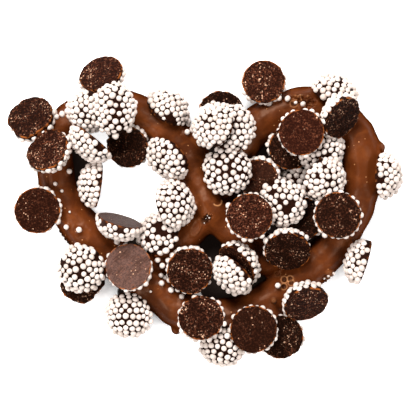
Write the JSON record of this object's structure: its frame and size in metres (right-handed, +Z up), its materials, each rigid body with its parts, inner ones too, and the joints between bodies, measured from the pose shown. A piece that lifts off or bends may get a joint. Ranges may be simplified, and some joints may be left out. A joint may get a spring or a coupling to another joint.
{
  "type": "chocolate covered pretzel",
  "caption": "Hard twisted pretzel under a milk chocolate coat, with dark chocolate drops stuck to it, flat on one side and covered with white sugar beads on the domed side.",
  "frame": {"origin": "on the table, under the middle of the whole", "axes": "+Z up, +X to the right with the twist's belly towards -Y and the two lobes towards +Y"},
  "size_m": [0.1028, 0.0802, 0.0224],
  "materials": {
    "milk_chocolate": "satin",
    "dark_chocolate": "matte",
    "sugar_beads": "matte"
  },
  "bodies": {
    "root": {"pretzel": "milk_chocolate", "drop_01": "dark_chocolate", "drop_02": "dark_chocolate", "drop_03": "dark_chocolate", "drop_04": "dark_chocolate", "drop_05": "dark_chocolate", "drop_06": "dark_chocolate", "drop_07": "dark_chocolate", "drop_08": "dark_chocolate", "drop_09": "dark_chocolate", "drop_10": "dark_chocolate", "drop_11": "dark_chocolate", "drop_12": "dark_chocolate", "drop_13": "dark_chocolate", "drop_14": "dark_chocolate", "drop_15": "dark_chocolate", "drop_16": "dark_chocolate", "drop_17": "dark_chocolate", "drop_18": "dark_chocolate", "drop_19": "dark_chocolate", "drop_20a": "dark_chocolate", "drop_20b": "dark_chocolate", "drop_21": "dark_chocolate", "drop_22": "dark_chocolate", "drop_23": "dark_chocolate", "drop_24": "dark_chocolate", "drop_25": "dark_chocolate", "drop_26": "dark_chocolate", "drop_27a": "dark_chocolate", "drop_27b": "dark_chocolate", "drop_28a": "dark_chocolate", "drop_28b": "dark_chocolate", "drop_29": "dark_chocolate", "drop_30": "dark_chocolate", "drop_31": "dark_chocolate", "drop_32": "dark_chocolate", "drop_33": "dark_chocolate", "drop_34": "dark_chocolate", "drop_35": "dark_chocolate", "drop_36": "dark_chocolate", "drop_37a": "dark_chocolate", "drop_37b": "dark_chocolate", "drop_38": "dark_chocolate", "drop_39": "dark_chocolate", "drop_40": "dark_chocolate", "drop_41": "dark_chocolate", "drop_42": "dark_chocolate"}
  },
  "joints": []
}
